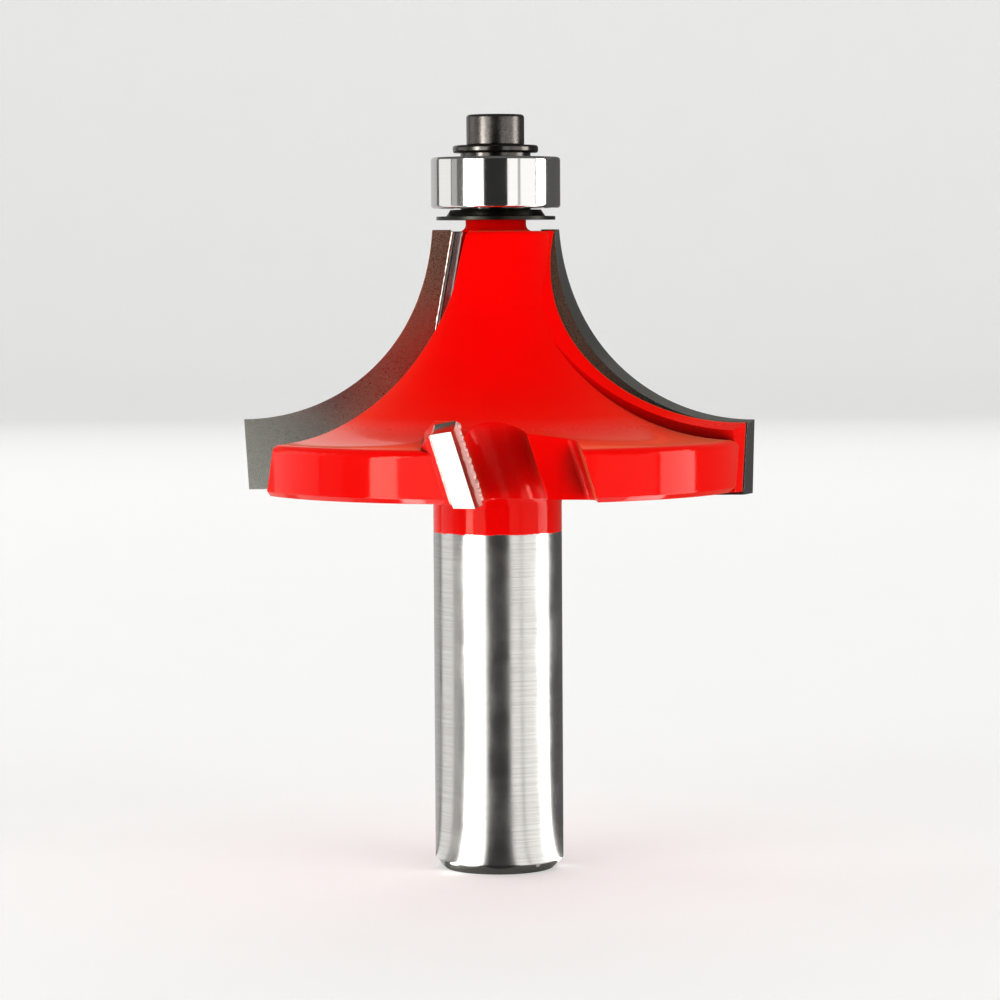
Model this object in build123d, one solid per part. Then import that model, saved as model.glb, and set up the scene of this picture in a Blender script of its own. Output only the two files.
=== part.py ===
from build123d import *

import os
from dataclasses import dataclass
from math import acos, asin, cos, radians, sin, sqrt, tan

# A rounding-over router bit with a pilot ball bearing.
# A turned and milled steel body carries two large carbide plates that cut the quarter round,
# and two small ones between them that cut the shoulder. A shielded ball bearing sits on a post
# at the nose, on a dust shield, and is held by a stepped washer and a socket head cap screw.
# Millimetres, +Z up the axis. The origin is the centre of the shank's end face.
# Seen from the nose the bit turns anticlockwise, so "ahead" is anticlockwise round +Z.

# Shank and neck
SHANK_DIA = 12.7
SHANK_LENGTH = 33.4
SHANK_CHAMFER = 1.0
NECK_LENGTH = 4.2
NECK_FILLET = 1.5

# Bearing: a shielded inch miniature, 3/16 in bore
BEARING_OD = 12.7
BEARING_BORE = 4.762
BEARING_WIDTH = 4.978
BALL_DIA = 2.381
BALL_COUNT = 7
BALL_CLEARANCE = 0.02
RACE_CONFORMITY = 0.52
RACE_SHOULDER = 0.74
RING_CHAMFER = 0.3
BEARING_SHIELD_THICKNESS = 0.25
BEARING_SHIELD_RECESS = 0.15
BEARING_SHIELD_SEAT = 0.4
BEARING_SHIELD_GAP = 0.2
CAGE_WALL = 0.85
CAGE_FLOOR = 0.5
CAGE_RISE = 0.75
CAGE_POCKET_CLEARANCE = 0.08
POST_CLEARANCE = 0.01

# Cut: the quarter round starts flush with the bearing and ends on an upright edge
CUTTING_RADIUS = 19.05
EDGE_HEIGHT = 7.1
PLATE_OVERHANG = 0.3
PLATE_SETDOWN = 0.4

# Body between the plates
RIM_SETBACK = 0.9
RIM_DROP = 1.8
RIM_FILLET = 0.7
RIM_CHAMFER = 0.5
SKIRT_EASE = 0.8
SKIRT_OUTREACH = 0.1
CORE_DIA = 11.1
CORE_BLEND = 8.0
NOSE_DIA = 5.95
NOSE_RISE = 0.95
NOSE_FILLET = 0.65
DECK_DROP = 0.15
DECK_FILLET = 0.5

# Large plates, which cut the round
LARGE_LEAD = 1.2
LARGE_SHEAR = 14.0
LARGE_THICKNESS = 2.3
LARGE_INNER_TOP = 4.35
LARGE_INNER_SLOPE = 10.0
PLATE_RELIEF = 10.0

# Land of body behind each large plate, and the heel that ends it
LAND_SHIFT_IN = 0.8
LAND_SHIFT_DOWN = 2.65
LAND_REACH_LOSS = 0.15
LAND_HEIGHT_LOSS = 2.47
LAND_EDGE_SETBACK = 0.5
LAND_RELIEF = 24.0
HEEL_OFFSET = 3.3
HEEL_SHEAR = 8.0
HEEL_SPLAY = 4.3

# Gullet ahead of each large plate
LARGE_ROOT_RADIUS = 1.8
LARGE_ROOT_LOW_REACH = 8.0
LARGE_ROOT_HIGH_REACH = 3.5
LARGE_GULLET_WIDTH = 15.9
LARGE_GULLET_SPAN = 21.3
LARGE_WALL_LEAN = 24.0

# Small plates, which cut the shoulder, and the land behind each
SMALL_ANGLE = -97.1
SMALL_SHEAR = -17.4
SMALL_THICKNESS = 2.0
SMALL_REACH = 5.4
SMALL_LAND_SETBACK = 0.5
SMALL_LAND_WIDTH = 1.3
SMALL_LAND_RELIEF = 40.0

# Gullet ahead of each small plate: a deep round trough and a wider floor beside it
SMALL_TROUGH_RADIUS = 3.1
SMALL_TROUGH_REACH = 18.5
SMALL_FLOOR_REACH = 17.1
SMALL_GULLET_WIDTH = 10.3
SMALL_GULLET_SPLAY = 10.4
SMALL_GULLET_FILLET = 1.0

# Braze between each plate and its pocket
BRAZE_BACK = 0.12
BRAZE_EDGE = 0.27

# Dust shield under the bearing
DUST_FLANGE_DIA = 11.7
DUST_FLANGE_THICKNESS = 0.35
DUST_CONE_FOOT_DIA = 9.8
DUST_CONE_TOP_DIA = 8.9
DUST_CONE_HEIGHT = 0.65
DUST_HUB_DIA = 6.9
DUST_HUB_HEIGHT = 0.15

# Stepped washer on top of the bearing
WASHER_DIA = 8.4
WASHER_THICKNESS = 0.75
WASHER_FILLET = 0.25
WASHER_HUB_DIA = 6.9
WASHER_HUB_HEIGHT = 0.42

# M3 socket head cap screw and its tapped hole in the post
SCREW_DIA = 3.0
SCREW_LENGTH = 10.0
SCREW_TIP_CHAMFER = 0.4
SCREW_HEAD_DIA = 5.68
SCREW_HEAD_HEIGHT = 3.0
SCREW_HEAD_FILLET = 0.3
SCREW_SOCKET_FLATS = 2.5
SCREW_SOCKET_DEPTH = 1.5
SCREW_HOLE_GAP = 0.1
THREAD_CLEARANCE = 0.02
TAPPED_DEPTH = 12.0
DRILL_POINT_SLOPE = 31.0
POST_SETDOWN = 0.3
POST_CHAMFER = 0.25

# Levels and radii that follow from the sizes above
SHANK_RADIUS = SHANK_DIA / 2
DISC_BOTTOM = SHANK_LENGTH + NECK_LENGTH
PLATE_BOTTOM = DISC_BOTTOM - PLATE_OVERHANG
SHOULDER = PLATE_BOTTOM + EDGE_HEIGHT
FORM_TOP = SHOULDER + CUTTING_RADIUS
PLATE_TOP = FORM_TOP - PLATE_SETDOWN
PILOT_RADIUS = BEARING_OD / 2
CUT_RADIUS = PILOT_RADIUS + CUTTING_RADIUS
DECK = PLATE_TOP - DECK_DROP
NOSE_TOP = PLATE_TOP + NOSE_RISE
CORE_RADIUS = CORE_DIA / 2
RIM_RADIUS = CUT_RADIUS - RIM_SETBACK
RIM_TOP = SHOULDER - RIM_DROP
SKIRT_RADIUS = CUTTING_RADIUS + SKIRT_EASE
BEARING_BOTTOM = NOSE_TOP + DUST_FLANGE_THICKNESS + DUST_CONE_HEIGHT + DUST_HUB_HEIGHT
BEARING_TOP = BEARING_BOTTOM + BEARING_WIDTH
BEARING_MIDDLE = BEARING_BOTTOM + BEARING_WIDTH / 2
BORE_RADIUS = BEARING_BORE / 2
POST_RADIUS = BORE_RADIUS - POST_CLEARANCE
POST_TOP = BEARING_TOP - POST_SETDOWN
WASHER_TOP = BEARING_TOP + WASHER_HUB_HEIGHT + WASHER_THICKNESS
PITCH_RADIUS = (PILOT_RADIUS + BORE_RADIUS) / 2
WINGS = (0, 180)
OPEN_SIDE = 2 * CUT_RADIUS


@dataclass(frozen=True)
class Form:
    """Profile of revolution that plates and lands follow: a hollow round above an upright edge.

    The round is a quarter of an ellipse, with arc_reach across the bit and arc_height along it.
    """

    centre_radius: float
    centre_level: float
    arc_reach: float
    arc_height: float
    edge_radius: float

    def sunk(self, drop: float) -> "Form":
        """The same profile, `drop` further inside the bit."""
        return Form(
            self.centre_radius,
            self.centre_level,
            self.arc_reach + drop,
            self.arc_height + drop,
            self.edge_radius - drop,
        )

    def round_points(self, start_angle: float, count: int = 9) -> list[tuple[float, float]]:
        """Radius and level of points down the round, from start_angle below level to the edge."""
        end_angle = self.angle_at_radius(self.edge_radius)
        angles = [start_angle + (end_angle - start_angle) * i / (count - 1) for i in range(count)]
        return [
            (
                self.centre_radius - self.arc_reach * cos(angle),
                self.centre_level - self.arc_height * sin(angle),
            )
            for angle in angles
        ]

    def angle_at_level(self, level: float) -> float:
        """Angle below level at which the round passes a level."""
        return asin((self.centre_level - level) / self.arc_height)

    def angle_at_radius(self, radius: float) -> float:
        """Angle below level at which the round passes a radius."""
        return acos((self.centre_radius - radius) / self.arc_reach)


@dataclass(frozen=True)
class Seat:
    """The rake plane of one plate: where it stands round the bit and how it leans."""

    angle: float
    lead: float
    shear: float
    level: float

    def plane(self, depth: float = 0.0) -> Plane:
        """Plane parallel to the rake face and `depth` behind it; its x points out of the bit."""
        outward = Vector(cos(radians(self.angle)), sin(radians(self.angle)), 0)
        ahead = Vector(-outward.Y, outward.X, 0)
        lean = radians(self.shear)
        behind = ahead * -cos(lean) + Vector(0, 0, sin(lean))
        origin = ahead * self.lead + Vector(0, 0, self.level) + behind * depth
        return Plane(origin=origin, x_dir=outward, z_dir=behind)

    def height(self, level: float, depth: float) -> float:
        """Height of a level in the plane `depth` behind the rake face."""
        lean = radians(self.shear)
        return (level - self.level - depth * sin(lean)) / cos(lean)

    def point(self, radius: float, level: float, depth: float) -> tuple[float, float]:
        """Point of that plane at a radius from the bit's axis and a level."""
        lean = radians(self.shear)
        height = self.height(level, depth)
        ahead = self.lead - depth * cos(lean) + height * sin(lean)
        return sqrt(max(radius**2 - ahead**2, 0)), height


CUT_FORM = Form(CUT_RADIUS, FORM_TOP, CUTTING_RADIUS, CUTTING_RADIUS, CUT_RADIUS)
LAND_FORM = Form(
    CUT_RADIUS - LAND_SHIFT_IN,
    FORM_TOP - LAND_SHIFT_DOWN,
    CUTTING_RADIUS - LAND_REACH_LOSS,
    CUTTING_RADIUS - LAND_HEIGHT_LOSS,
    CUT_RADIUS - LAND_EDGE_SETBACK,
)
LARGE_SEAT = Seat(0, LARGE_LEAD, LARGE_SHEAR, PLATE_TOP)
SMALL_SEAT = Seat(SMALL_ANGLE, 0, SMALL_SHEAR, (PLATE_BOTTOM + SHOULDER) / 2)


def blade_section(seat: Seat, depth: float, outer: list, corners: list) -> Sketch:
    """Closed section in a plane behind the rake face: a curve down the form, then straight sides."""
    outline = Spline(*outer) + Polyline(outer[-1], *corners, outer[0])
    return seat.plane(depth) * make_face(outline)


def large_inner(height: float, inset: float = 0.0) -> tuple[float, float]:
    """Point of a large plate's inner edge at a height in its plane, drawn in by an inset."""
    return LARGE_INNER_TOP - height * tan(radians(LARGE_INNER_SLOPE)) - inset, height


def large_section(form: Form, depth: float) -> Sketch:
    """Section of a large plate, from its straight inner edge out to the form."""
    start = form.angle_at_level(PLATE_TOP)
    outer = [seat_point(LARGE_SEAT, place, depth) for place in form.round_points(start)]
    corners = [
        LARGE_SEAT.point(form.edge_radius, PLATE_BOTTOM, depth),
        large_inner(LARGE_SEAT.height(PLATE_BOTTOM, depth)),
        large_inner(LARGE_SEAT.height(PLATE_TOP, depth)),
    ]
    return blade_section(LARGE_SEAT, depth, outer, corners)


def land_section(form: Form, depth: float) -> Sketch:
    """Section of the land behind a large plate, from inside the core out to the form."""
    start = form.angle_at_level(DECK)
    outer = [seat_point(LARGE_SEAT, place, depth) for place in form.round_points(start)]
    corners = [
        LARGE_SEAT.point(form.edge_radius, DISC_BOTTOM, depth),
        (-CORE_RADIUS / 2, LARGE_SEAT.height(DISC_BOTTOM, depth)),
        (-CORE_RADIUS / 2, LARGE_SEAT.height(DECK, depth)),
    ]
    return blade_section(LARGE_SEAT, depth, outer, corners)


def small_section(form: Form, depth: float, bottom: float, inner: float) -> Sketch:
    """Section of a small plate, its braze or its land, from an inner side out to the form."""
    start = form.angle_at_radius(inner)
    outer = [seat_point(SMALL_SEAT, place, depth) for place in form.round_points(start, count=4)]
    outer[0] = (inner, outer[0][1])
    corners = [
        SMALL_SEAT.point(form.edge_radius, bottom, depth),
        (inner, SMALL_SEAT.height(bottom, depth)),
    ]
    return blade_section(SMALL_SEAT, depth, outer, corners)


def seat_point(seat: Seat, place: tuple[float, float], depth: float) -> tuple[float, float]:
    """Point of a seat's plane for a (radius, level) pair."""
    radius, level = place
    return seat.point(radius, level, depth)


def large_plate() -> Part:
    """Carbide plate that cuts the quarter round, relieved behind its edge."""
    back = CUT_FORM.sunk(LARGE_THICKNESS * tan(radians(PLATE_RELIEF)))
    return loft([large_section(CUT_FORM, 0), large_section(back, LARGE_THICKNESS)], ruled=True)


def small_plate() -> Part:
    """Carbide plate that cuts the shoulder, relieved behind its edge."""
    inner = CUT_RADIUS - SMALL_REACH
    back = CUT_FORM.sunk(SMALL_THICKNESS * tan(radians(PLATE_RELIEF)))
    sections = [
        small_section(CUT_FORM, 0, PLATE_BOTTOM, inner),
        small_section(back, SMALL_THICKNESS, PLATE_BOTTOM, inner),
    ]
    return loft(sections, ruled=True)


def slab(seat: Seat, near: float, far: float, corners: list[tuple[float, float]]) -> Part:
    """Block between two depths behind a rake face, over an outline given in that face."""
    outline = seat.plane(near) * make_face(Polyline(*corners, close=True))
    return extrude(outline, far - near)


def large_pocket() -> Part:
    """Everything outside the step that a large plate is brazed against."""
    foot = large_inner(-OPEN_SIDE, BRAZE_EDGE)
    head = large_inner(EDGE_HEIGHT, BRAZE_EDGE)
    corners = [foot, head, (OPEN_SIDE, head[1]), (OPEN_SIDE, foot[1])]
    return slab(LARGE_SEAT, 0, LARGE_THICKNESS + BRAZE_BACK, corners)


def small_pocket() -> Part:
    """Everything outside the step that a small plate is brazed against."""
    step = CUT_RADIUS - SMALL_REACH - BRAZE_EDGE
    high = 2 * EDGE_HEIGHT
    corners = [(step, -high), (step, high), (OPEN_SIDE, high), (OPEN_SIDE, -high)]
    return slab(SMALL_SEAT, 0, SMALL_THICKNESS + BRAZE_BACK, corners)


def rake_lead(seat: Seat, level: float) -> float:
    """How far ahead of the bit's axis a rake plane lies at a level."""
    return seat.lead + (level - seat.level) * tan(radians(seat.shear))


def leaning_prism(seat: Seat, outline: Sketch, low: float, high: float) -> Part:
    """Prism that leans with a rake plane, so a side drawn on y = 0 stays in that plane.

    The outline is drawn with x out of the bit and y ahead of the rake face.
    """
    foot = Rot(0, 0, seat.angle) * Pos(0, rake_lead(seat, low), low) * outline
    climb = Vector(0, tan(radians(seat.shear)), 1).rotate(Axis.Z, seat.angle)
    return extrude(foot, (high - low) * climb.length, dir=climb)


def large_gullet_outline(width: float, reach: float) -> Sketch:
    """Outline of a large gullet, with x out of the bit and y ahead of the rake face."""
    gap, span = width - LARGE_ROOT_RADIUS, LARGE_GULLET_SPAN - reach
    distance = sqrt(gap**2 + span**2)
    wall_angle = asin(gap / distance) - asin(LARGE_ROOT_RADIUS / distance)
    wall = Vector(cos(wall_angle), sin(wall_angle))
    root = Vector(reach, LARGE_ROOT_RADIUS)
    wall_foot = root + Vector(-wall.Y, wall.X) * LARGE_ROOT_RADIUS
    wall_end = wall_foot + wall * OPEN_SIDE
    open_sides = Polyline((root.X, 0), (OPEN_SIDE, 0), wall_end, wall_foot)
    return make_face(open_sides + ThreePointArc(wall_foot, (root.X - LARGE_ROOT_RADIUS, root.Y), (root.X, 0)))


def large_gullet() -> Part:
    """Notch ahead of a large plate: a round root that draws in towards the nose, and a far wall
    that leans more than the plate."""
    spread = tan(radians(LARGE_WALL_LEAN)) - tan(radians(LARGE_SHEAR))
    ends = ((PLATE_BOTTOM - NECK_FILLET, LARGE_ROOT_LOW_REACH), (PLATE_TOP, LARGE_ROOT_HIGH_REACH))
    sections = []
    for level, reach in ends:
        outline = large_gullet_outline(LARGE_GULLET_WIDTH + (level - RIM_TOP) * spread, reach)
        sections.append(Pos(0, rake_lead(LARGE_SEAT, level), level) * outline)
    return loft(sections, ruled=True)


def small_gullet() -> Part:
    """Notch ahead of a small plate: a round trough beside its rake face, and a wider floor."""
    splay = tan(radians(SMALL_GULLET_SPLAY))
    opening = Polyline(
        (SMALL_TROUGH_REACH, 0),
        (OPEN_SIDE, 0),
        (OPEN_SIDE, SMALL_GULLET_WIDTH + (OPEN_SIDE - SMALL_FLOOR_REACH) * splay),
        (SMALL_FLOOR_REACH, SMALL_GULLET_WIDTH),
        (SMALL_FLOOR_REACH, SMALL_TROUGH_RADIUS),
        (SMALL_TROUGH_REACH, SMALL_TROUGH_RADIUS),
        close=True,
    )
    trough = Pos(SMALL_TROUGH_REACH, SMALL_TROUGH_RADIUS) * Circle(SMALL_TROUGH_RADIUS)
    outline = make_face(opening) + trough
    corner = nearest_corner(outline, SMALL_FLOOR_REACH, SMALL_GULLET_WIDTH)
    outline = fillet(corner, SMALL_GULLET_FILLET)
    return leaning_prism(SMALL_SEAT, outline, SHANK_LENGTH, SHOULDER + CUTTING_RADIUS / 2)


def nearest_corner(outline: Sketch, x: float, y: float) -> Vertex:
    """The corner of a flat outline that lies nearest to a point."""
    return outline.vertices().sort_by_distance((x, y, 0))[0]


def large_land_front() -> Part:
    """Part of a large plate's land that lies beside the plate, before its pocket is cut."""
    depths = (0, LARGE_THICKNESS + BRAZE_BACK)
    return loft([land_section(LAND_FORM, depth) for depth in depths], ruled=True)


def large_land() -> Part:
    """Land of body that backs a large plate and ends at the heel."""
    plate_back = LARGE_THICKNESS + BRAZE_BACK
    reach = (LARGE_LEAD + HEEL_OFFSET) * cos(radians(LARGE_SHEAR))
    heel_form = LAND_FORM.sunk((reach - plate_back) * tan(radians(LAND_RELIEF)))
    back = loft([land_section(LAND_FORM, plate_back), land_section(heel_form, reach)], ruled=True)
    wall = Plane(
        origin=(0, -HEEL_OFFSET, PLATE_TOP),
        x_dir=(1, -tan(radians(HEEL_SPLAY)), 0),
        z_dir=(-tan(radians(HEEL_SPLAY)), -1, tan(radians(HEEL_SHEAR))),
    )
    half_space = Pos(0, 0, CUT_RADIUS) * Box(2 * OPEN_SIDE, 2 * OPEN_SIDE, OPEN_SIDE)
    return large_land_front() + back - wall * half_space


def small_land_front() -> Part:
    """Part of a small plate's land that lies beside the plate, before its pocket is cut."""
    inner = CUT_RADIUS - SMALL_REACH - SMALL_LAND_WIDTH
    form = CUT_FORM.sunk(SMALL_LAND_SETBACK)
    depths = (0, SMALL_THICKNESS + BRAZE_BACK)
    return loft([small_section(form, depth, DISC_BOTTOM, inner) for depth in depths], ruled=True)


def small_land() -> Part:
    """Low land of body that backs a small plate."""
    inner = CUT_RADIUS - SMALL_REACH - SMALL_LAND_WIDTH
    plate_back = SMALL_THICKNESS + BRAZE_BACK
    form = CUT_FORM.sunk(SMALL_LAND_SETBACK)
    heel_form = form.sunk(SMALL_LAND_WIDTH * tan(radians(SMALL_LAND_RELIEF)))
    sections = [
        small_section(form, plate_back, DISC_BOTTOM, inner),
        small_section(heel_form, plate_back + SMALL_LAND_WIDTH, DISC_BOTTOM, inner),
    ]
    return small_land_front() + loft(sections, ruled=True)


def turned(outline: Sketch) -> Part:
    """Solid of revolution from an outline drawn with x as radius and y as level."""
    return revolve(Plane.XZ * outline, Axis.Z)


def step_outline(steps: list[tuple[float, float, float]]) -> Sketch:
    """Union of rectangles from the axis, each given as radius, bottom level and top level."""
    outline = Sketch()
    for radius, bottom, top in steps:
        outline += Pos(radius / 2, (bottom + top) / 2) * Rectangle(radius, top - bottom)
    return outline


def blank() -> Part:
    """The body as turned, before any milling: shank, neck, disc, flared skirt, nose and post."""
    skirt_centre = Vector(RIM_RADIUS + SKIRT_OUTREACH, RIM_TOP + SKIRT_RADIUS)
    disc = step_outline([(RIM_RADIUS, DISC_BOTTOM, DECK)])
    disc -= Pos(skirt_centre.X, skirt_centre.Y) * Circle(SKIRT_RADIUS)
    disc = disc.faces().sort_by(Axis.Y)[0]
    outline = step_outline([(CORE_RADIUS, DISC_BOTTOM, DECK)]) + disc
    waist = max(
        (v for v in outline.vertices() if DISC_BOTTOM < v.Y < DECK),
        key=lambda v: v.Y,
    )
    outline = fillet(waist, CORE_BLEND)
    outline = fillet(nearest_corner(outline, CORE_RADIUS, DECK), DECK_FILLET)
    outline += step_outline([(SHANK_RADIUS, 0, DISC_BOTTOM), (NOSE_DIA / 2, DECK, NOSE_TOP)])
    outline = chamfer(nearest_corner(outline, SHANK_RADIUS, 0), SHANK_CHAMFER)
    outline = chamfer(nearest_corner(outline, RIM_RADIUS, DISC_BOTTOM), RIM_CHAMFER)
    outline = fillet(nearest_corner(outline, SHANK_RADIUS, DISC_BOTTOM), NECK_FILLET)
    outline = fillet(nearest_corner(outline, RIM_RADIUS, RIM_TOP), RIM_FILLET)
    outline = fillet(nearest_corner(outline, NOSE_DIA / 2, DECK), NOSE_FILLET)
    outline += step_outline([(POST_RADIUS, NOSE_TOP, POST_TOP)])
    outline = chamfer(nearest_corner(outline, POST_RADIUS, POST_TOP), POST_CHAMFER)
    return turned(outline)


def tapped_hole() -> Part:
    """Blind hole for the cap screw, with a drill point."""
    radius = SCREW_DIA / 2 + THREAD_CLEARANCE
    floor = POST_TOP - TAPPED_DEPTH
    point = floor - radius * tan(radians(DRILL_POINT_SLOPE))
    return turned(make_face(
        Polyline((0, point), (radius, floor), (radius, POST_TOP), (0, POST_TOP), close=True)
    ))


def body() -> Part:
    """Steel body: the turned blank with its lands, then gullets, pockets and the tapped hole."""
    solid = blank()
    for wing in WINGS:
        turn = Rot(0, 0, wing)
        solid += turn * large_land()
        solid += turn * small_land()
    for wing in WINGS:
        turn = Rot(0, 0, wing)
        solid -= turn * large_gullet()
        solid -= turn * small_gullet()
        solid -= turn * large_pocket()
        solid -= turn * small_pocket()
    return solid - tapped_hole()


def large_braze() -> Part:
    """Braze that fills a large plate's pocket, behind the plate and along its inner edge."""
    return large_land_front() & large_pocket() - large_plate()


def small_braze() -> Part:
    """Braze that fills a small plate's pocket, behind the plate and along its inner edge."""
    return small_land_front() & small_pocket() - small_plate()


def dust_shield() -> Part:
    """Turned shield that keeps dust out of the bearing from below."""
    flange_top = NOSE_TOP + DUST_FLANGE_THICKNESS
    cone_top = flange_top + DUST_CONE_HEIGHT
    outline = make_face(Polyline(
        (POST_RADIUS, NOSE_TOP),
        (DUST_FLANGE_DIA / 2, NOSE_TOP),
        (DUST_FLANGE_DIA / 2, flange_top),
        (DUST_CONE_FOOT_DIA / 2, flange_top),
        (DUST_CONE_TOP_DIA / 2, cone_top),
        (DUST_HUB_DIA / 2, cone_top),
        (DUST_HUB_DIA / 2, BEARING_BOTTOM),
        (POST_RADIUS, BEARING_BOTTOM),
        close=True,
    ))
    return turned(outline)


def washer() -> Part:
    """Stepped washer that bears on the inner ring only."""
    radius = WASHER_DIA / 2
    hub_top = BEARING_TOP + WASHER_HUB_HEIGHT
    outline = step_outline([(WASHER_HUB_DIA / 2, BEARING_TOP, hub_top), (radius, hub_top, WASHER_TOP)])
    for level in (hub_top, WASHER_TOP):
        outline = fillet(nearest_corner(outline, radius, level), WASHER_FILLET)
    outline -= step_outline([(SCREW_DIA / 2 + SCREW_HOLE_GAP, BEARING_TOP, WASHER_TOP)])
    return turned(outline)


def cap_screw() -> Part:
    """Socket head cap screw, with its thread left as a plain shank."""
    head_top = WASHER_TOP + SCREW_HEAD_HEIGHT
    tip = WASHER_TOP - SCREW_LENGTH
    outline = step_outline([
        (SCREW_HEAD_DIA / 2, WASHER_TOP, head_top),
        (SCREW_DIA / 2, tip, WASHER_TOP),
    ])
    outline = fillet(nearest_corner(outline, SCREW_HEAD_DIA / 2, head_top), SCREW_HEAD_FILLET)
    outline = chamfer(nearest_corner(outline, SCREW_DIA / 2, tip), SCREW_TIP_CHAMFER)
    hexagon = RegularPolygon(SCREW_SOCKET_FLATS / 2, 6, major_radius=False)
    socket = Pos(0, 0, head_top) * extrude(hexagon, -SCREW_SOCKET_DEPTH)
    return turned(outline) - socket


def race(centre_radius: float) -> Sketch:
    """Section of the groove that the balls run in."""
    return Pos(centre_radius, BEARING_MIDDLE) * Circle(BALL_DIA * RACE_CONFORMITY)


def ring_section(inner: float, outer: float) -> Sketch:
    """Plain section of a bearing ring."""
    return Pos((inner + outer) / 2, BEARING_MIDDLE) * Rectangle(outer - inner, BEARING_WIDTH)


def race_offset() -> float:
    """How far the centre of a groove lies from the pitch circle, to leave the balls their play."""
    return BALL_DIA * RACE_CONFORMITY - BALL_DIA / 2 - BALL_CLEARANCE


def inner_ring() -> Part:
    """Inner ring of the bearing."""
    section = ring_section(BORE_RADIUS, PITCH_RADIUS - RACE_SHOULDER)
    for level in (BEARING_BOTTOM, BEARING_TOP):
        section = chamfer(nearest_corner(section, BORE_RADIUS, level), RING_CHAMFER / 2)
    return turned(section - race(PITCH_RADIUS + race_offset()))


def outer_ring() -> Part:
    """Outer ring of the bearing, with a seat for a shield at each face."""
    section = ring_section(PITCH_RADIUS + RACE_SHOULDER, PILOT_RADIUS)
    for level in (BEARING_BOTTOM, BEARING_TOP):
        section = fillet(nearest_corner(section, PILOT_RADIUS, level), RING_CHAMFER)
    seat_radius = shield_radius() + POST_CLEARANCE
    seat = step_outline([(seat_radius, BEARING_BOTTOM, BEARING_TOP)])
    seat -= step_outline([(seat_radius, shield_floor(-1), shield_floor(1))])
    return turned(section - seat - race(PITCH_RADIUS - race_offset()))


def shield_radius() -> float:
    """Outer radius of a bearing shield."""
    return PITCH_RADIUS + RACE_SHOULDER + BEARING_SHIELD_SEAT


def shield_floor(side: int) -> float:
    """Level of the ledge that a bearing shield rests on; side is -1 below and 1 above."""
    half = BEARING_WIDTH / 2 - BEARING_SHIELD_RECESS - BEARING_SHIELD_THICKNESS
    return BEARING_MIDDLE + side * half


def bearing_shield(side: int) -> Part:
    """Pressed shield that closes one face of the bearing."""
    inner = PITCH_RADIUS - RACE_SHOULDER + BEARING_SHIELD_GAP
    floor = shield_floor(side)
    plate = Circle(shield_radius()) - Circle(inner)
    return Pos(0, 0, floor) * extrude(plate, side * BEARING_SHIELD_THICKNESS)


def cage() -> Part:
    """Crown cage: a ring with a pocket for each ball."""
    pocket_radius = BALL_DIA / 2 + CAGE_POCKET_CLEARANCE
    bottom = BEARING_MIDDLE - pocket_radius - CAGE_FLOOR
    top = BEARING_MIDDLE + CAGE_RISE
    ring = Circle(PITCH_RADIUS + CAGE_WALL / 2) - Circle(PITCH_RADIUS - CAGE_WALL / 2)
    solid = Pos(0, 0, bottom) * extrude(ring, top - bottom)
    for place in ball_places():
        solid -= place * Sphere(pocket_radius)
    return solid


def ball_places() -> list[Location]:
    """Where the balls lie, evenly round the pitch circle."""
    return [
        Rot(0, 0, 360 * i / BALL_COUNT) * Pos(PITCH_RADIUS, 0, BEARING_MIDDLE)
        for i in range(BALL_COUNT)
    ]


def nodes() -> dict[str, Part]:
    """Every piece of the bit, by name."""
    pieces = {"body": body()}
    for number, wing in enumerate(WINGS, start=1):
        turn = Rot(0, 0, wing)
        pieces[f"large_cutter_{number}"] = turn * large_plate()
        pieces[f"small_cutter_{number}"] = turn * small_plate()
        pieces[f"large_braze_{number}"] = turn * large_braze()
        pieces[f"small_braze_{number}"] = turn * small_braze()
    pieces["dust_shield"] = dust_shield()
    pieces["bearing_inner_ring"] = inner_ring()
    pieces["bearing_outer_ring"] = outer_ring()
    pieces["bearing_lower_shield"] = bearing_shield(-1)
    pieces["bearing_upper_shield"] = bearing_shield(1)
    pieces["bearing_cage"] = cage()
    for number, place in enumerate(ball_places(), start=1):
        pieces[f"bearing_ball_{number}"] = place * Sphere(BALL_DIA / 2)
    pieces["stop_washer"] = washer()
    pieces["cap_screw"] = cap_screw()
    return pieces


os.makedirs("parts", exist_ok=True)
for name, piece in nodes().items():
    piece.label = name
    export_step(piece, f"parts/{name}.step")
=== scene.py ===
import logging
from dataclasses import dataclass, field
from enum import Enum
from functools import cache
from math import cos, pi, radians, sin, sqrt, tan
from typing import Callable, Iterable

import bmesh
import bpy
from mathutils import Matrix, Vector


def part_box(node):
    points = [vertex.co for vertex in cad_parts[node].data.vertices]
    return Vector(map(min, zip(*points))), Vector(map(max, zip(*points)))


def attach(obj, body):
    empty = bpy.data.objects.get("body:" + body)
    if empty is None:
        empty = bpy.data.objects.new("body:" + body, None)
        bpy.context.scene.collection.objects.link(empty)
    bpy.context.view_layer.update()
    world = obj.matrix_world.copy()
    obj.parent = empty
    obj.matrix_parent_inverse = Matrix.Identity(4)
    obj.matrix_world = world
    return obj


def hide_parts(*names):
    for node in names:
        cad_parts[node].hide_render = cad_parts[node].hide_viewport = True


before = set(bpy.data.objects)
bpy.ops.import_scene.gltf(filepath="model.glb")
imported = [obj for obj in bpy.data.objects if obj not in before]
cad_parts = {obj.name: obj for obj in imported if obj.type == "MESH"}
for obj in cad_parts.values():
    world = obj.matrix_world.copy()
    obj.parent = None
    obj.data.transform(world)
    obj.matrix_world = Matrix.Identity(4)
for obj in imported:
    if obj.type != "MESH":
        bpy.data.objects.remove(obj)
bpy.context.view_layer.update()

# The looks of a red rounding-over router bit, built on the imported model.
# Lengths are metres and the bit's axis is +Z, standing on the end of its shank.

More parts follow.
